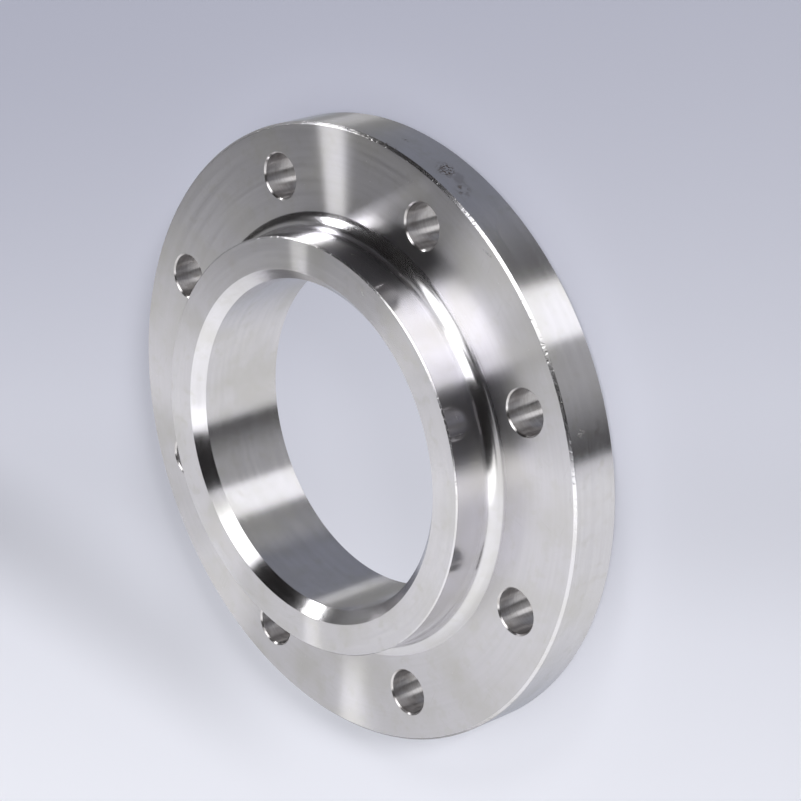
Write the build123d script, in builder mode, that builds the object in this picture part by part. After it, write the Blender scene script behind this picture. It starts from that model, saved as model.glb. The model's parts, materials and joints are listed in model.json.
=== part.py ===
from build123d import *
import os

# Hubbed slip-on weld flange, turned from one forging, in millimetres.
# Z is the axis of the bore. The flat back face lies on Z = 0 and the hub points up.
# The radii are built outwards from the pipe: bore, hub, bolt circle and rim.
# The bolt holes straddle the X and Y axes, as they do on installed pipework.

# Bore, which slides over the pipe, with a bevel at the hub's end for the fillet weld
pipe_diameter = 133.0
pipe_clearance = 0.25
weld_bevel = 4.5
bore_edge_break = 0.3

# Hub
hub_wall = 17.25
hub_projection = 20.0
hub_edge_break = 0.5
root_radius = 6.0

# Plate: the lands are the metal from the hub's wall to a bolt hole and from there to the rim
plate_thickness = 22.0
hub_land = 12.0
rim_land = 11.0
rim_edge_break = 1.0

# Bolt holes
bolt_count = 8
bolt_diameter = 16.0
bolt_clearance = 1.0
bolt_edge_break = 0.6

# Worked out from the sizes above: the bolt circle is 210 across and the rim 250
bore_radius = pipe_diameter / 2 + pipe_clearance
hub_radius = bore_radius + hub_wall
overall_height = plate_thickness + hub_projection
bolt_hole_radius = bolt_diameter / 2 + bolt_clearance
bolt_sink_radius = bolt_hole_radius + bolt_edge_break
bolt_circle_radius = hub_radius + hub_land + bolt_hole_radius
outer_radius = bolt_circle_radius + bolt_hole_radius + rim_land
first_bolt_angle = 360 / bolt_count / 2

# The cone of a 45 degree edge break, measured across both its sides
edge_break_cone = 90

with BuildPart() as flange:
    # Half section in the XZ plane: sketch X is the radius and sketch Y is the height
    with BuildSketch(Plane.XZ) as section:
        with BuildLine():
            Polyline(
                (bore_radius, 0),
                (outer_radius, 0),
                (outer_radius, plate_thickness),
                (hub_radius, plate_thickness),
                (hub_radius, overall_height),
                (bore_radius, overall_height),
                close=True,
            )
        make_face()
        fillet(section.vertices().group_by(Axis.Y)[1].sort_by(Axis.X)[0], root_radius)
        chamfer(section.vertices().group_by(Axis.X)[-1], rim_edge_break)
        chamfer(section.vertices().group_by(Axis.Y)[-1].sort_by(Axis.X)[0], weld_bevel)
        chamfer(section.vertices().group_by(Axis.Y)[-1].sort_by(Axis.X)[-1], hub_edge_break)
        chamfer(section.vertices().group_by(Axis.Y)[0].sort_by(Axis.X)[0], bore_edge_break)
    revolve(axis=Axis.Z)

    # Bolt holes, cut once from the hub's side and once from the back to break both their edges
    with Locations(Plane.XY.offset(plate_thickness), Plane.XY.rotated((180, 0, 0))):
        with PolarLocations(bolt_circle_radius, bolt_count, start_angle=first_bolt_angle):
            CounterSinkHole(
                bolt_hole_radius, bolt_sink_radius, counter_sink_angle=edge_break_cone
            )

flange.part.label = "flange"

os.makedirs("parts", exist_ok=True)
export_step(flange.part, "parts/flange.step")
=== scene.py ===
"""Looks of the hubbed slip-on weld flange: a fine turned mesh, its steel, the studio and the camera."""
import json
import math
from collections import namedtuple

import bpy
import numpy as np
from mathutils import Matrix, Vector


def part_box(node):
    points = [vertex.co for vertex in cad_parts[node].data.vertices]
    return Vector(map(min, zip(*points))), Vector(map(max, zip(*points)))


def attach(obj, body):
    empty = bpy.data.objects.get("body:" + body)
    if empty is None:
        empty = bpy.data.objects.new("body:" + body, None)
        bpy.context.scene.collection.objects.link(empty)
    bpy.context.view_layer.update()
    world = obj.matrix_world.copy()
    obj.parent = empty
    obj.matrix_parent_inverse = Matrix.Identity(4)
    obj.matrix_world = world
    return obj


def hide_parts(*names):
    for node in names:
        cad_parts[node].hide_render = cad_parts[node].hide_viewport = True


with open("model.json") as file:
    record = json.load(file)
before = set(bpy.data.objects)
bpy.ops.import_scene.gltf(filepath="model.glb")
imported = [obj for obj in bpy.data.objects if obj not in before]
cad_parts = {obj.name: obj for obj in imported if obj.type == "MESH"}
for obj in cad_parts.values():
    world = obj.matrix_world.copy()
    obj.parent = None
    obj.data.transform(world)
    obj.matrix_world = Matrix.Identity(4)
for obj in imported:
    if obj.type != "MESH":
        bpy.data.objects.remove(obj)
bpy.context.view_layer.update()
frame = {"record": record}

MM = 0.001

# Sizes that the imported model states
MOUNTS = {mount["name"]: mount["dims"] for mount in frame["record"]["mounts"]}
HIGHEST_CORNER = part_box("flange")[1]
RIM_R = HIGHEST_CORNER.x
HEIGHT = HIGHEST_CORNER.z
BORE_R = MOUNTS["pipe_bore"]["r_mm"] * MM
CIRCLE_R = MOUNTS["bolt_holes"]["pcd_mm"] / 2 * MM
HOLE_R = MOUNTS["bolt_holes"]["hole_r_mm"] * MM
HOLES = MOUNTS["bolt_holes"]["count"]

# Sizes of the section that the record doesn't state, as in the part's source
PLATE = 22 * MM
HUB_R = 84 * MM
ROOT_R = 6 * MM
WELD_BEVEL = 4.5 * MM
RIM_BREAK = 1 * MM
HUB_BREAK = 0.5 * MM
BORE_BREAK = 0.3 * MM
HOLE_BREAK = 0.6 * MM

# Every broken edge turns the outline twice by this angle
BREAK_TURN = math.pi / 4

# Every sharp corner is worn to a small round, which catches the light, and cut into so many steps.
CORNER_ROUND = 0.12 * MM
CORNER_STEPS = 3
RIM_ROUND = 0.35 * MM
RIM_STEPS = 6
ROOT_STEPS = 14

# Each bolt hole has its own sector of the plate, cut into steps round it, along its sides and in to the
# hole. The flat lands round the holes keep a margin from the root fillet and from the rim's break.
SECTOR_STEPS = 90
RING_STEPS = HOLES * SECTOR_STEPS
SIDE_STEPS = 22
LAND_ROWS = 4
LAND_MARGIN = 0.5 * MM

TINY = 1e-7
ROUND_EACH_BAND = "round_each_band"

# The finishes, in the order of the mesh's materials
FACE, HUB_FACE, HUB, RIM, BORE, EDGE, DRILLED = range(7)

# How much of a normal has to look outwards to be a slanted edge, inwards to be the bore's wall, and up
# to be a face
SLANTED = (0.3, 0.95)
STRAIGHT_IN = 0.9
STRAIGHT_UP = 0.999


# The mesh

def rounded_corner(outline, index, radius, steps):
    """(point, outward normal) pairs that round one corner of a closed outline run anticlockwise."""
    before, here, after = (np.array(outline[(index + k) % len(outline)]) for k in (-1, 0, 1))
    into = (here - before) / np.linalg.norm(here - before)
    out = (after - here) / np.linalg.norm(after - here)
    turn = math.atan2(into[0] * out[1] - into[1] * out[0], into @ out)
    side = math.copysign(1, turn)
    left = np.array([-into[1], into[0]])
    centre = here - into * radius * math.tan(abs(turn) / 2) + side * radius * left
    pairs = []
    for step in range(steps + 1):
        c, s = math.cos(turn * step / steps), math.sin(turn * step / steps)
        normal = np.array([left[1] * s - left[0] * c, -left[0] * s - left[1] * c])
        pairs.append((centre + side * radius * normal, normal))
    return pairs


def turned_section():
    """The section as (radius, height) points with normals, anticlockwise from the back of the bore."""
    root = (HUB_R, PLATE)
    outline = [
        (BORE_R, BORE_BREAK),
        (BORE_R + BORE_BREAK, 0),
        (RIM_R - RIM_BREAK, 0),
        (RIM_R, RIM_BREAK),
        (RIM_R, PLATE - RIM_BREAK),
        (RIM_R - RIM_BREAK, PLATE),
        root,
        (HUB_R, HEIGHT - HUB_BREAK),
        (HUB_R - HUB_BREAK, HEIGHT),
        (BORE_R + WELD_BEVEL, HEIGHT),
        (BORE_R, HEIGHT - WELD_BEVEL),
    ]
    rounds = {root: (ROOT_R, ROOT_STEPS)}
    rounds |= dict.fromkeys(outline[2:6], (RIM_ROUND, RIM_STEPS))
    pairs = []
    for index, point in enumerate(outline):
        pairs += rounded_corner(outline, index, *rounds.get(point, (CORNER_ROUND, CORNER_STEPS)))
    return pairs


def finish_of(radius, height, normal):
    """Which finish a stretch of the section has, from where it lies and which way it looks."""
    slanted = SLANTED[0] < normal[0] < SLANTED[1]
    if slanted and (radius > RIM_R - RIM_BREAK or height > HEIGHT - HUB_BREAK):
        return EDGE
    if radius > RIM_R - RIM_BREAK:
        return RIM
    if normal[0] < -STRAIGHT_IN:
        return BORE
    if height > PLATE + TINY:
        return HUB if normal[1] < STRAIGHT_UP else HUB_FACE
    return FACE


class FlangeMesh:
    """Collects vertices with exact normals, and faces with a finish each."""

    def __init__(self):
        self.points = []
        self.normals = []
        self.faces = []
        self.finishes = []
        self.turns = []
        self.sides = {}

    def row(self, points, normals):
        """New vertices, in order."""
        start = len(self.points)
        self.points += points
        self.normals += normals
        return list(range(start, len(self.points)))

    def ring(self, radius, height, normal):
        """A row of vertices round the flange's axis."""
        angles = [2 * math.pi * step / RING_STEPS for step in range(RING_STEPS)]
        turns = [(math.cos(angle), math.sin(angle)) for angle in angles]
        points = [(radius * c, radius * s, height) for c, s in turns]
        normals = [(normal[0] * c, normal[0] * s, normal[1]) for c, s in turns]
        return self.row(points, normals)

    def band(self, first, second, finish):
        """Quads between two closed rows, which look outwards if the second is further along."""
        count = len(first)
        for i in range(count):
            j = (i + 1) % count
            self.faces.append((first[i], first[j], second[j], second[i]))
            self.finishes.append(finish)
            here, there = i / count, (i + 1) / count
            self.turns += [here, 0, there, 0, there, 1, here, 1]

    def side(self, index, height, normal, land):
        """The row along one side of an eighth of the plate, which both of its neighbours share."""
        if (index, height) not in self.sides:
            angle = 2 * math.pi * index / RING_STEPS
            radii = np.linspace(*land, SIDE_STEPS + 1)[1:-1]
            points = [(r * math.cos(angle), r * math.sin(angle), height) for r in radii]
            self.sides[index, height] = self.row(points, [normal] * len(points))
        return self.sides[index, height]

    def land(self, start, centre, rings, height, land):
        """One face of the plate round a bolt hole, from its eighth of the ring in to the hole."""
        normal = (0, 0, 1 if height else -1)
        indices = [(start + k) % RING_STEPS for k in range(SECTOR_STEPS + 1)]
        inner, outer = rings
        border = [outer[i] for i in indices] + self.side(indices[-1], height, normal, land)[::-1]
        border += [inner[i] for i in indices[::-1]] + self.side(indices[0], height, normal, land)
        edge = np.array([self.points[vertex][:2] for vertex in border])
        outwards = (edge - centre) / np.linalg.norm(edge - centre, axis=1)[:, None]
        mouth = centre + outwards * (HOLE_R + HOLE_BREAK + CORNER_ROUND * math.tan(BREAK_TURN / 2))
        row = border
        for step in range(1, LAND_ROWS + 1):
            places = edge + (mouth - edge) * step / LAND_ROWS
            nearer = self.row([(x, y, height) for x, y in places], [normal] * len(places))
            self.band(*((row, nearer) if height else (nearer, row)), FACE)
            row = nearer
        return row, outwards

    def bolt_hole(self, number, front, back, land):
        """The plate's eighth with one bolt hole: both faces, and the wall with its broken edges."""
        start = number * SECTOR_STEPS
        angle = 2 * math.pi * (start + SECTOR_STEPS / 2) / RING_STEPS
        centre = CIRCLE_R * np.array([math.cos(angle), math.sin(angle)])
        row, outwards = self.land(start, centre, front, PLATE, land)
        last_row, _ = self.land(start, centre, back, 0, land)
        wall = [
            (HOLE_R + HOLE_BREAK, PLATE),
            (HOLE_R, PLATE - HOLE_BREAK),
            (HOLE_R, HOLE_BREAK),
            (HOLE_R + HOLE_BREAK, 0),
        ]
        outline = wall + [(CIRCLE_R, 0), (CIRCLE_R, PLATE)]
        pairs = []
        for index in range(len(wall)):
            pairs += rounded_corner(outline, index, CORNER_ROUND, CORNER_STEPS)
        for (radius, height), normal in pairs[1:-1]:
            points = [(*(centre + d * radius), height) for d in outwards]
            normals = [(d[0] * normal[0], d[1] * normal[0], normal[1]) for d in outwards]
            deeper = self.row(points, normals)
            self.band(row, deeper, DRILLED)
            row = deeper
        self.band(row, last_row, DRILLED)

    def turned_faces(self):
        """The whole ring, with the plate's two faces left open between the lands for the bolt holes."""
        land = (HUB_R + ROOT_R + LAND_MARGIN, RIM_R - RIM_BREAK - LAND_MARGIN)
        back = [self.ring(radius, 0, (0, -1)) for radius in land]
        front = [self.ring(radius, PLATE, (0, 1)) for radius in land]
        rings = [(self.ring(*point, normal), point, normal) for point, normal in turned_section()]
        for index, (ring, point, normal) in enumerate(rings):
            last_ring, last_point, last_normal = rings[index - 1]
            if point[0] - last_point[0] > land[1] - land[0]:
                self.band(last_ring, back[0], FACE)
                self.band(back[1], ring, FACE)
            elif last_point[0] - point[0] > land[1] - land[0]:
                self.band(last_ring, front[1], FACE)
                self.band(front[0], ring, FACE)
            else:
                middle = (np.array(point) + np.array(last_point)) / 2
                self.band(last_ring, ring, finish_of(*middle, (normal + last_normal) / 2))
        for number in range(HOLES):
            self.bolt_hole(number, front, back, land)

    def build(self, name, materials):
        """The object, with the exact normals and a map that runs round each band."""
        mesh = bpy.data.meshes.new(name)
        mesh.from_pydata(self.points, [], self.faces)
        for material in materials:
            mesh.materials.append(material)
        mesh.polygons.foreach_set("material_index", self.finishes)
        mesh.polygons.foreach_set("use_smooth", [True] * len(self.faces))
        mesh.uv_layers.new(name=ROUND_EACH_BAND).uv.foreach_set("vector", self.turns)
        mesh.update()
        mesh.normals_split_custom_set_from_vertices(self.normals)
        piece = bpy.data.objects.new(name, mesh)
        bpy.context.scene.collection.objects.link(piece)
        return piece


# Node trees

class Nodes:
    """Adds nodes to a tree. An input is a number, a colour, or another node's output."""

    def __init__(self, tree):
        self.tree = tree
        tree.nodes.clear()

    def add(self, kind, inputs=None, **settings):
        """A new node, with its settings made and its inputs set or linked."""
        node = self.tree.nodes.new(kind)
        for name, value in settings.items():
            setattr(node, name, value)
        for name, value in (inputs or {}).items():
            socket = node.inputs[name]
            if isinstance(value, bpy.types.NodeSocket):
                self.tree.links.new(value, socket)
            else:
                socket.default_value = value
        return node

    def math(self, operation, *values):
        """The result of a sum on one, two or three values."""
        return self.add("ShaderNodeMath", dict(enumerate(values)), operation=operation).outputs[0]

    def remap(self, value, low, high, new_low=0.0, new_high=1.0, kind="SMOOTHSTEP"):
        """A value moved from one range to another, and held inside it."""
        inputs = {"Value": value, "From Min": low, "From Max": high}
        inputs |= {"To Min": new_low, "To Max": new_high}
        return self.add("ShaderNodeMapRange", inputs, interpolation_type=kind).outputs["Result"]

    def mix(self, share, first, second):
        """A colour between two colours."""
        inputs = {0: share, 6: first, 7: second}
        return self.add("ShaderNodeMix", inputs, data_type="RGBA").outputs[2]

    def along(self, place, direction):
        """How far a place in the plane lies in a direction."""
        parts = [self.math("MULTIPLY", here, share) for here, share in zip(place, direction)]
        return self.math("ADD", *parts)

    def length(self, x, y):
        """How far a place in the plane lies from its origin."""
        squares = [self.math("MULTIPLY", part, part) for part in (x, y)]
        return self.math("SQRT", self.math("ADD", *squares))

    def noise(self, vector, scale, detail, w=None):
        """Noise in three dimensions, or in four where w is given."""
        inputs = {"Vector": vector, "Scale": scale, "Detail": detail}
        if w is None:
            return self.add("ShaderNodeTexNoise", inputs).outputs["Fac"]
        inputs["W"] = w
        return self.add("ShaderNodeTexNoise", inputs, noise_dimensions="4D").outputs["Fac"]

    def split(self, vector):
        """The three parts of a vector."""
        return self.add("ShaderNodeSeparateXYZ", {0: vector}).outputs[:]

    def stretched(self, parts, scales):
        """A vector of three parts, each times its own scale."""
        scaled = [self.math("MULTIPLY", part, scale) for part, scale in zip(parts, scales)]
        return self.add("ShaderNodeCombineXYZ", dict(enumerate(scaled))).outputs[0]


def new_material(name):
    """A material, and its nodes."""
    material = bpy.data.materials.new(name)
    material.use_nodes = True
    return material, Nodes(material.node_tree)


# Steel

# How a finish spreads light: spread round the axis and across the marks, for the smooth metal between
# the marks and for the flanks of the marks, and how much of the light the flanks take.
Spread = namedtuple("Spread", "smooth flanks flank_share")
FLANKS = (0.012, 0.6)
FACED = Spread((0.03, 0.06), FLANKS, 0.34)
POLISHED = Spread((0.016, 0.035), FLANKS, 0.14)
FINE_FACED = Spread((0.022, 0.04), FLANKS, 0.2)
TURNED_RIM = Spread((0.014, 0.04), FLANKS, 0.14)
BROKEN_EDGE = Spread((0.04, 0.06), (0.05, 0.25), 0.2)
BORED = Spread((0.035, 0.06), (0.05, 0.5), 0.35)

# At full anisotropy the smooth metal's two spreads are in a ratio of 1 less this
FULL_SQUEEZE = 0.9

STEEL = (0.635, 0.625, 0.66)
STAINED_STEEL = (0.55, 0.54, 0.525)
DRILLED_DARK = (0.5, 0.485, 0.49)
DRILLED_LIGHT = (0.6, 0.585, 0.59)
SMEARED_STEEL = (0.36, 0.34, 0.32)
GROOVE_SHARE = 0.95
GROOVE_COLOUR = [part * GROOVE_SHARE for part in STEEL]

# How finely patterns vary: turning marks along themselves, in each radian, and stains, blotches, smears
# and nicks, in each metre
STREAK = 2.0
STAINS, BLOTCHES, SMEARS, NICKS = 38.0, 210.0, 260.0, 620.0

# Where a pattern starts to count and where it counts in full
GROOVED = (0.3, 0.7)
STAINED = (0.4, 0.7)
BLOTCHED = (0.52, 0.72)
SMEARED = (0.45, 0.7)
NICKED = (0.5, 0.75)
RAGGED = (0.42, 0.62)

# How strongly each shows where it counts in full
STAIN_SHOWS, BLOTCH_SHOWS, SMEAR_SHOWS = 0.7, 0.4, 0.6
DUST_SHOWS, DRILLED_DUST_SHOWS, SCRATCHES_SHOW = 0.4, 0.3, 0.12

# How rough they leave the steel: grooves by these shares of a finish's own roughness, stains by adding
# to it, and full dirt and drilling by figures of their own. The drill's rings have a depth in mm.
GROOVE_ROUGHNESS = (0.88, 1.12)
STAIN_ROUGHNESS = 0.03
DIRT_ROUGHNESS = 0.6
DRILLED_ROUGHNESS = (0.19, 0.27)
DRILLED_DEPTH = 0.02

# Dust and scratches: cells in each metre, the share of cells that hold one, and its largest size, in
# cells. The cells for scratches are long and thin, and are turned by these headings, in degrees.
DUST = (430.0, 0.4, 0.1)
DRILLED_DUST = (900.0, 0.5, 0.16)
SCRATCH_CELLS = (90.0, 3200.0, 900.0)
SCRATCH_SHARE, SCRATCH_SIZE = 0.06, 0.35
SCRATCH_HEADINGS = (25, 112)

# A mark on a surface: degrees round the axis, mm out and up to its middle, how many mm it reaches out,
# round and up, its turns about the way out and the way up, how finely it is broken up, its colour and
# its strength. It is full within a share of its reach.
Mark = namedtuple("Mark", "angle radius height reach turns grain colour strength")
FULL_WITHIN = 0.35

RUST = (0.11, 0.075, 0.06)
GREASE = (0.2, 0.195, 0.2)
SCUFF = (0.62, 0.61, 0.6)
PLATE_MARKS = [
    Mark(51.9, 121.3, 22, (0.6, 3.2, 1), (0, 14), 900, GREASE, 0.45),
    Mark(6.8, 123.0, 22, (1.2, 4.0, 1), (0, 0), 500, GREASE, 0.12),
]
HUB_FACE_MARKS = [
    Mark(67.0, 78.4, 42, (1.0, 3.4, 1), (0, -22), 700, SCUFF, 0.5),
    Mark(72.5, 80.6, 42, (0.5, 4.0, 1), (0, -8), 900, SCUFF, 0.3),
]
HUB_MARKS = [
    Mark(79.8, 84, 35.4, (1, 3.6, 0.3), (18, 0), 1200, SCUFF, 0.8),
    Mark(64.7, 84, 38.4, (1, 0.3, 3.6), (12, 0), 1200, SCUFF, 0.8),
    Mark(20.7, 84, 36.9, (1, 0.25, 3.2), (-4, 0), 2400, SCUFF, 1.0),
    Mark(25.0, 84, 36.0, (1, 2.4, 0.2), (12, 0), 2400, SCUFF, 0.7),
]
RIM_MARKS = [
    Mark(70.2, 125, 12.6, (2, 6.5, 5.0), (-30, 0), 1100, RUST, 0.9),
    Mark(64.4, 125, 14.6, (2, 4.2, 3.6), (0, 0), 420, RUST, 0.9),
    Mark(66.5, 125, 12.0, (2, 11.0, 5.0), (-20, 0), 240, RUST, 0.3),
    Mark(81.0, 125, 11.6, (2, 2.6, 1.0), (0, 0), 1100, RUST, 0.9),
    Mark(80.5, 125, 20.6, (2, 5.0, 1.0), (0, 0), 700, RUST, 0.8),
    Mark(16.5, 125, 7.0, (2, 7.0, 4.0), (0, 0), 260, RUST, 0.2),
    Mark(17.5, 125, 15.5, (2, 2.4, 3.0), (0, 0), 1400, SCUFF, 0.8),
]


def sharpness(spread):
    """Roughness and the ratio of the two spreads, as the shaders want them."""
    around, across = spread
    return (around * across) ** 0.25, around / across


def marked(nodes, place, mark):
    """1 inside a mark, falling to 0 at its ragged edge."""
    about_out, about_up = mark.turns
    middle = Matrix.Rotation(math.radians(mark.angle), 3, "Z") @ Vector((mark.radius, 0, mark.height))
    local = nodes.add("ShaderNodeMapping", {
        "Vector": place,
        "Location": middle * MM,
        "Rotation": (math.radians(about_out), 0, math.radians(mark.angle + about_up)),
        "Scale": [reach * MM for reach in mark.reach],
    }, vector_type="TEXTURE").outputs[0]
    away = nodes.add("ShaderNodeVectorMath", {0: local}, operation="LENGTH").outputs["Value"]
    inside = nodes.remap(away, 1.0, FULL_WITHIN)
    broken = nodes.remap(nodes.noise(place, mark.grain, 3.0), *RAGGED)
    return nodes.math("MULTIPLY", nodes.math("MULTIPLY", inside, broken), mark.strength)


def dust(nodes, place, scale, share, size):
    """1 at scattered specks: one cell in a few holds one, of a size of its own."""
    cells = nodes.add("ShaderNodeTexVoronoi", {"Vector": place, "Scale": scale})
    chance = nodes.split(cells.outputs["Color"])[0]
    reach = nodes.remap(chance, 1 - share, 1.0, 0.0, size, "LINEAR")
    return nodes.math("LESS_THAN", cells.outputs["Distance"], reach)


def scratches(nodes, place, heading):
    """1 on a few fine straight scratches that run one way."""
    turn = {"Vector": place, "Angle": math.radians(heading)}
    turned = nodes.add("ShaderNodeVectorRotate", turn, rotation_type="Z_AXIS").outputs[0]
    stretched = nodes.stretched(nodes.split(turned), SCRATCH_CELLS)
    return dust(nodes, stretched, 1.0, SCRATCH_SHARE, SCRATCH_SIZE)


def surface(nodes, tangent, spread, colour, rough, relief, dirt, dirt_colour):
    """Smooth metal between the marks, mixed with their flanks, which spread light across them."""
    bump = nodes.add("ShaderNodeBump", {"Strength": 1.0, "Distance": MM, "Height": relief}).outputs[0]
    seen_colour = nodes.mix(dirt, colour, dirt_colour)
    ratio = sharpness(spread.smooth)[1]
    smooth = nodes.add("ShaderNodeBsdfPrincipled", {
        "Base Color": seen_colour,
        "Metallic": 1.0,
        "Roughness": nodes.math("MAXIMUM", rough, nodes.math("MULTIPLY", dirt, DIRT_ROUGHNESS)),
        "Anisotropic": (1 - ratio) / FULL_SQUEEZE,
        "Anisotropic Rotation": 0.25,
        "Tangent": tangent,
        "Normal": bump,
    })
    roughness, ratio = sharpness(spread.flanks)
    flanks = nodes.add("ShaderNodeBsdfAnisotropic", {
        "Color": seen_colour,
        "Roughness": roughness,
        "Anisotropy": 1 - math.sqrt(ratio),
        "Tangent": tangent,
        "Normal": bump,
    })
    share = nodes.math("MULTIPLY", nodes.math("SUBTRACT", 1.0, dirt), spread.flank_share)
    shader = nodes.add("ShaderNodeMixShader", {0: share, 1: smooth.outputs[0], 2: flanks.outputs[0]})
    nodes.add("ShaderNodeOutputMaterial", {"Surface": shader.outputs[0]})


def turned_steel(name, spread, marks_per_mm, mark_depth, marks=(), wear=0.0):
    """Bright steel with marks all the way round, faint stains, a little dust and a few scratches."""
    material, nodes = new_material(name)
    place = nodes.add("ShaderNodeTexCoord").outputs["Object"]
    x, y, z = nodes.split(place)
    radius = nodes.length(x, y)
    across = marks_per_mm / MM
    turn = [nodes.math("DIVIDE", part, radius) for part in (x, y)]
    around = nodes.stretched((*turn, radius), (STREAK, STREAK, across))
    deep = nodes.math("MULTIPLY", z, across)
    grooves = nodes.noise(around, 1.0, 3.0, w=deep)
    swells = nodes.noise(around, 1.0, 0.0, w=deep)
    cloud = nodes.noise(place, STAINS, 5.0)
    blotch = nodes.remap(nodes.noise(place, BLOTCHES, 5.0), *BLOTCHED)
    colour = nodes.mix(nodes.remap(grooves, *GROOVED), (*GROOVE_COLOUR, 1), (*STEEL, 1))
    colour = nodes.mix(nodes.remap(cloud, *STAINED, 0.0, STAIN_SHOWS), colour, (*STAINED_STEEL, 1))
    colour = nodes.mix(nodes.math("MULTIPLY", blotch, BLOTCH_SHOWS), colour, (*STAINED_STEEL, 1))
    roughness = sharpness(spread.smooth)[0]
    least, most = [roughness * part for part in GROOVE_ROUGHNESS]
    rough = nodes.math(
        "ADD",
        nodes.remap(grooves, *GROOVED, least, most, "LINEAR"),
        nodes.remap(cloud, *STAINED, 0.0, STAIN_ROUGHNESS),
    )
    relief = nodes.math("MULTIPLY", swells, mark_depth)
    if wear:
        nicks = nodes.remap(nodes.noise(place, NICKS, 3.0), *NICKED)
        relief = nodes.math("ADD", relief, nodes.math("MULTIPLY", nicks, -wear))
    specks = nodes.math("MULTIPLY", dust(nodes, place, *DUST), DUST_SHOWS)
    lines = nodes.math("MAXIMUM", *[scratches(nodes, place, heading) for heading in SCRATCH_HEADINGS])
    dirt = nodes.math("MAXIMUM", specks, nodes.math("MULTIPLY", lines, SCRATCHES_SHOW))
    dirt_colour = (*SCUFF, 1)
    for mark in marks:
        share = marked(nodes, place, mark)
        dirt_colour = nodes.mix(nodes.math("GREATER_THAN", share, dirt), dirt_colour, (*mark.colour, 1))
        dirt = nodes.math("MAXIMUM", dirt, share)
    tangent = nodes.add("ShaderNodeTangent", direction_type="RADIAL", axis="Z").outputs[0]
    surface(nodes, tangent, spread, colour, rough, relief, dirt, dirt_colour)
    return material


def drilled_steel():
    """The walls of the bolt holes, with the drill's rings down them."""
    material, nodes = new_material("drilled_steel")
    place = nodes.add("ShaderNodeTexCoord").outputs["Object"]
    rings_per_metre = (70.0, 70.0, 2200.0)
    rings = nodes.noise(nodes.stretched(nodes.split(place), rings_per_metre), 1.0, 3.0)
    smears = nodes.remap(nodes.noise(place, SMEARS, 4.0), *SMEARED, 0.0, SMEAR_SHOWS)
    colour = nodes.mix(nodes.remap(rings, *GROOVED), (*DRILLED_DARK, 1), (*DRILLED_LIGHT, 1))
    colour = nodes.mix(smears, colour, (*SMEARED_STEEL, 1))
    rough = nodes.remap(rings, *GROOVED, *DRILLED_ROUGHNESS, "LINEAR")
    relief = nodes.math("MULTIPLY", rings, DRILLED_DEPTH)
    specks = nodes.math("MULTIPLY", dust(nodes, place, *DRILLED_DUST), DRILLED_DUST_SHOWS)
    tangent = nodes.add("ShaderNodeTangent", direction_type="UV_MAP", uv_map=ROUND_EACH_BAND)
    surface(nodes, tangent.outputs[0], BORED, colour, rough, relief, specks, (*SCUFF, 1))
    return material


def finishes():
    """One material for each finish, in their order, with its marks per mm and their depth in mm."""
    return [
        turned_steel("faced_steel", FACED, 0.6, 0.005, PLATE_MARKS),
        turned_steel("hub_face_steel", FINE_FACED, 0.6, 0.003, HUB_FACE_MARKS),
        turned_steel("hub_steel", POLISHED, 0.4, 0.001, HUB_MARKS),
        turned_steel("rim_steel", TURNED_RIM, 0.5, 0.003, RIM_MARKS),
        turned_steel("bore_steel", FINE_FACED, 0.5, 0.003),
        turned_steel("worn_edge", BROKEN_EDGE, 1.2, 0.002, wear=0.05),
        drilled_steel(),
    ]


# Studio

# A light covers a patch of the sky round the flange: degrees round its axis from +X, and degrees above
# the floor. Its sides soften over so many degrees, and its foot and top fade over so many. Its sides
# lean by so many degrees round for each degree up. A later light hides the ones before it.
Light = namedtuple(
    "Light",
    "name start end low high strength edges lean fade tint",
    defaults=((0, 0), 8, (1, 1, 1)),
)

GAP_LEVEL = 0.01
WARM = (1.1, 0.97, 0.93)
COOL = (0.93, 0.97, 1.1)
STUDIO = [
    Light("front_of_floor", 7, 38, -90, -10, 0.52, edges=(17, 3)),
    Light("side_of_floor", 85, 160, -90, -12, 0.31, edges=(20, 10), fade=10, tint=COOL),
    Light("dim_back_wall", 150, 250, -90, 15, 0.34, edges=(10, 4), fade=8),
    Light("paper_on_floor", 186, 353, -90, -21, 0.5, edges=(5, 1), fade=4, tint=COOL),
    Light("lit_floor", 262, 353, -90, -12, 0.97, edges=(38, 1)),
    Light("paper_wall", 191, 352.5, -1, 58, 1.03, edges=(1.8, 1), lean=(0.35, 0), fade=7),
    Light("paper_middle", 265, 352.5, -1, 58, 1.38, edges=(30, 1), fade=7),
    Light("paper_edge", 336.5, 351.5, -8, 53, 2.3, edges=(4, 1)),
    Light("top_of_paper", 205, 335, 50, 79, 1.3, edges=(8, 8), fade=5),
    Light("soft_box_foot", 60, 87, -30, 14, 1.0, edges=(3, 10), fade=12),
    Light("soft_box_side", 60, 65, 16, 72, 2.8, edges=(3, 4), lean=(0, 0.72)),
    Light("soft_box", 37.5, 60, -90, 52, 1.5, edges=(1.5, 2), fade=6),
    Light("soft_box_middle", 37.2, 61, -8, 50, 2.9, edges=(1.5, 2), fade=8),
    Light("soft_box_core", 49, 83, 36, 47, 4.2, edges=(3, 3), fade=3),
    Light("soft_box_top", 85, 160, 68, 78, 2.2, edges=(8, 8), fade=2),
    Light("strip_core", 160, 168, 37, 42, 9, edges=(2, 2), fade=1),
]

# A strip light stands nearer, as a piece of its own. Its middle line is given in degrees round and up,
# as seen from a place by the root fillet, with its width there, and its distance, in metres.
STRIP_LINE = [
    (143.5, 15, 0.15),
    (147, 24, 0.15),
    (152.5, 31, 0.15),
    (158.5, 36, 0.15),
    (166.5, 41, 0.14),
]
STRIP_EYE = Vector((-0.01, 0.085, 0.026))
STRIP_REACH = 0.97
STRIP_STRENGTH = 12

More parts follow.
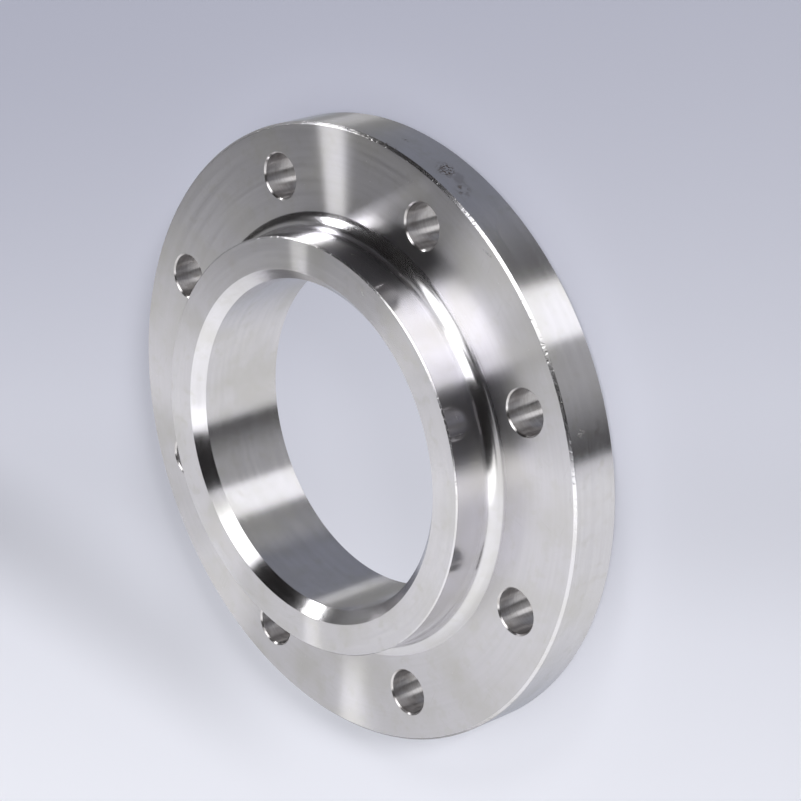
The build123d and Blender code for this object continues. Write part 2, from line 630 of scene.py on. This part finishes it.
# Suns light what is matte: two that throw the shadow, and a soft fill. For each, degrees round and up,
# how many degrees wide it is, and its share of the level at which white shows as white.
SUNS = {"key": (37, 25, 12, 0.34), "side": (105, 36, 16, 0.1), "fill": (0, 90, 80, 0.56)}


def stage_piece(name, points, faces, material):
    """A piece of the studio, which casts no shadow."""
    mesh = bpy.data.meshes.new(name)
    mesh.from_pydata(points, [], faces)
    mesh.materials.append(material)
    piece = bpy.data.objects.new(name, mesh)
    bpy.context.scene.collection.objects.link(piece)
    piece.visible_shadow = False
    return piece


def patch(nodes, light, direction, height):
    """1 inside a light's patch of the sky, falling off smoothly at its edges."""
    middle, half = (light.start + light.end) / 2, (light.end - light.start) / 2
    turn = {"Vector": direction, "Angle": math.radians(-middle)}
    turned = nodes.add("ShaderNodeVectorRotate", turn, rotation_type="Z_AXIS", label=light.name)
    x, y, _ = nodes.split(turned.outputs[0])
    angle = nodes.math("DEGREES", nodes.math("ARCTAN2", y, x))
    rise = nodes.math("MAXIMUM", height, 0.0)
    sides = []
    for lean, edge, soft, sign in zip(light.lean, (-half, half), light.edges, (1, -1)):
        place = nodes.math("SUBTRACT", angle, nodes.math("MULTIPLY", rise, lean)) if lean else angle
        sides.append(nodes.remap(place, edge - sign * soft, edge + sign * soft))
    across = nodes.math("MULTIPLY", *sides)
    above = nodes.remap(height, light.low - light.fade, light.low + light.fade)
    below = nodes.remap(height, light.high + light.fade, light.high - light.fade)
    return nodes.math("MULTIPLY", across, nodes.math("MULTIPLY", above, below))


def build_strip_light():
    """The strip light, out of the camera's sight."""
    line = []
    for angle, height, _ in STRIP_LINE:
        turn = math.radians(angle)
        rise = math.tan(math.radians(height))
        line.append(Vector((math.cos(turn), math.sin(turn), rise)) * STRIP_REACH)
    points = []
    for index, place in enumerate(line):
        along = line[min(index + 1, len(line) - 1)] - line[max(index - 1, 0)]
        half = along.cross(place).normalized() * STRIP_LINE[index][2] / 2
        points += [STRIP_EYE + place - half, STRIP_EYE + place + half]
    faces = [(i, i + 1, i + 3, i + 2) for i in range(0, len(points) - 2, 2)]
    material, nodes = new_material("strip_light")
    glow = nodes.add("ShaderNodeEmission", {"Strength": STRIP_STRENGTH})
    nodes.add("ShaderNodeOutputMaterial", {"Surface": glow.outputs[0]})
    strip = stage_piece("strip_light", points, faces, material)
    strip.visible_camera = False
    strip.visible_diffuse = False


def build_suns():
    """The suns, which the steel doesn't mirror."""
    for name, (angle, height, width, level) in SUNS.items():
        data = bpy.data.lights.new(name, "SUN")
        data.angle = math.radians(width)
        data.energy = level * math.pi / math.sin(math.radians(height))
        sun = bpy.data.objects.new(name, data)
        sun.rotation_euler = (0, math.radians(90 - height), math.radians(angle))
        sun.visible_glossy = False
        bpy.context.scene.collection.objects.link(sun)


def build_studio(backdrop):
    """The sky of lights that the steel mirrors. The camera sees a plain backdrop in its place."""
    world = bpy.data.worlds.new("studio")
    bpy.context.scene.world = world
    world.use_nodes = True
    world.cycles_visibility.diffuse = False
    nodes = Nodes(world.node_tree)
    direction = nodes.add("ShaderNodeTexCoord").outputs["Generated"]
    height = nodes.math("DEGREES", nodes.math("ARCSINE", nodes.split(direction)[2]))
    level = (*[GAP_LEVEL * part for part in WARM], 1)
    for light in STUDIO:
        colour = (*[light.strength * part for part in light.tint], 1)
        level = nodes.mix(patch(nodes, light, direction, height), level, colour)
    camera_ray = nodes.add("ShaderNodeLightPath").outputs["Is Camera Ray"]
    seen = nodes.mix(camera_ray, level, (*backdrop, 1))
    shader = nodes.add("ShaderNodeBackground", {"Color": seen, "Strength": 1.0})
    nodes.add("ShaderNodeOutputWorld", {"Surface": shader.outputs[0]})


# The floor reaches out so many metres, and fades from one colour to the other between two places up the
# picture, in metres.
FLOOR_REACH = 6.0
FLOOR_NEAR = (0.84, 0.85, 0.92)
FLOOR_FAR = (0.42, 0.43, 0.52)
FADE_FROM, FADE_TO = -0.24, 0.22

# A level band of painted shade in its colour, and a slanted band of painted shadow, the flange's
# shadow carried on, that fades out to the right: the middle, the reach and the share of the colour
# that each takes away. The slanted band's place is measured up and to the right.
LEVEL_PAINTED_SHADE, LEVEL_PAINTED_SHADE_REACH, LEVEL_PAINTED_SHADE_SHARE = -0.035, 0.05, 0.07
SHADE, SHADE_REACH, SHADE_SHARE = -0.135, 0.045, 0.19
SHADE_HEADING = (0.89, 0.45)
SHADE_ENDS = (-0.03, -0.1)

# How much of the floor inside the bore, and beyond the rim, is kept free of shadow
BORE_UNSHADED, REST_UNSHADED = 0.85, 0.3


def with_painted_shade(nodes, colour, place, middle, reach, share):
    """A colour with a soft band of painted shade, which takes most away at its middle."""
    away = nodes.math("ABSOLUTE", nodes.math("SUBTRACT", place, middle))
    taken = nodes.math("MULTIPLY", nodes.remap(away, reach, 0.0), share)
    return nodes.mix(taken, colour, (0, 0, 0, 1))


def floor_material(camera_up, camera_right):
    """Pale, lighter towards the picture's bottom, with two soft bands of painted shade, and partly free
    of shadow.
    """
    material, nodes = new_material("pale_floor")
    x, y, _ = nodes.split(nodes.add("ShaderNodeTexCoord").outputs["Object"])
    uphill = nodes.along((x, y), camera_up)
    rightward = nodes.along((x, y), camera_right)
    colour = nodes.mix(nodes.remap(uphill, FADE_FROM, FADE_TO), (*FLOOR_NEAR, 1), (*FLOOR_FAR, 1))
    # A level band of painted shade
    colour = with_painted_shade(nodes, colour, uphill, LEVEL_PAINTED_SHADE, LEVEL_PAINTED_SHADE_REACH, LEVEL_PAINTED_SHADE_SHARE)
    # A slanted band of painted shadow, which carries the flange's shadow on to the lower left
    slanted = nodes.along((uphill, rightward), SHADE_HEADING)
    shade = nodes.remap(rightward, *SHADE_ENDS, 0.0, SHADE_SHARE)
    colour = with_painted_shade(nodes, colour, slanted, SHADE, SHADE_REACH, shade)
    matte = nodes.add("ShaderNodeBsdfDiffuse", {"Color": colour})
    plain = nodes.add("ShaderNodeEmission", {"Color": colour})
    camera_ray = nodes.add("ShaderNodeLightPath").outputs["Is Camera Ray"]
    unshaded = nodes.remap(nodes.length(x, y), BORE_R, RIM_R, BORE_UNSHADED, REST_UNSHADED)
    share = nodes.math("MULTIPLY", camera_ray, unshaded)
    shader = nodes.add("ShaderNodeMixShader", {0: share, 1: matte.outputs[0], 2: plain.outputs[0]})
    nodes.add("ShaderNodeOutputMaterial", {"Surface": shader.outputs[0]})
    return material


def build_floor(camera_up, camera_right):
    """The floor, which the steel doesn't mirror: the sky of lights holds what it mirrors."""
    sides = ((-1, -1), (1, -1), (1, 1), (-1, 1))
    corners = [(FLOOR_REACH * x, FLOOR_REACH * y, 0) for x, y in sides]
    floor = stage_piece("floor", corners, [(0, 1, 2, 3)], floor_material(camera_up, camera_right))
    floor.visible_glossy = False


# Camera, at the photograph's viewing angle. It is rolled, because there the flange stands on its rim.

CAMERA_PLACE = Vector((0.7324, 0.4100, 0.6912))
CAMERA_AIM = Vector((0.03042, 0.02424, 0.021))
CAMERA_ROLL = math.radians(107.8)
CAMERA_LENS = 122.6


def build_camera():
    """The camera. It gives back which way is up, and which way is right, in its picture."""
    forward = (CAMERA_AIM - CAMERA_PLACE).normalized()
    level = forward.cross(Vector((0, 0, 1))).normalized()
    upright = level.cross(forward)
    right = level * math.cos(CAMERA_ROLL) - upright * math.sin(CAMERA_ROLL)
    up = upright * math.cos(CAMERA_ROLL) + level * math.sin(CAMERA_ROLL)
    data = bpy.data.cameras.new("camera")
    data.lens = CAMERA_LENS
    camera = bpy.data.objects.new("camera", data)
    bpy.context.scene.collection.objects.link(camera)
    turn = Matrix((right, up, -forward)).transposed().to_4x4()
    camera.matrix_world = Matrix.Translation(CAMERA_PLACE) @ turn
    bpy.context.scene.camera = camera
    return up, right


camera_up, camera_right = build_camera()
flange_mesh = FlangeMesh()
flange_mesh.turned_faces()
flange = flange_mesh.build("turned_flange", finishes())
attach(flange, "root")
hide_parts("flange")

build_floor(camera_up, camera_right)
build_strip_light()
build_suns()
build_studio(FLOOR_FAR)
bpy.context.scene.view_settings.view_transform = "Standard"
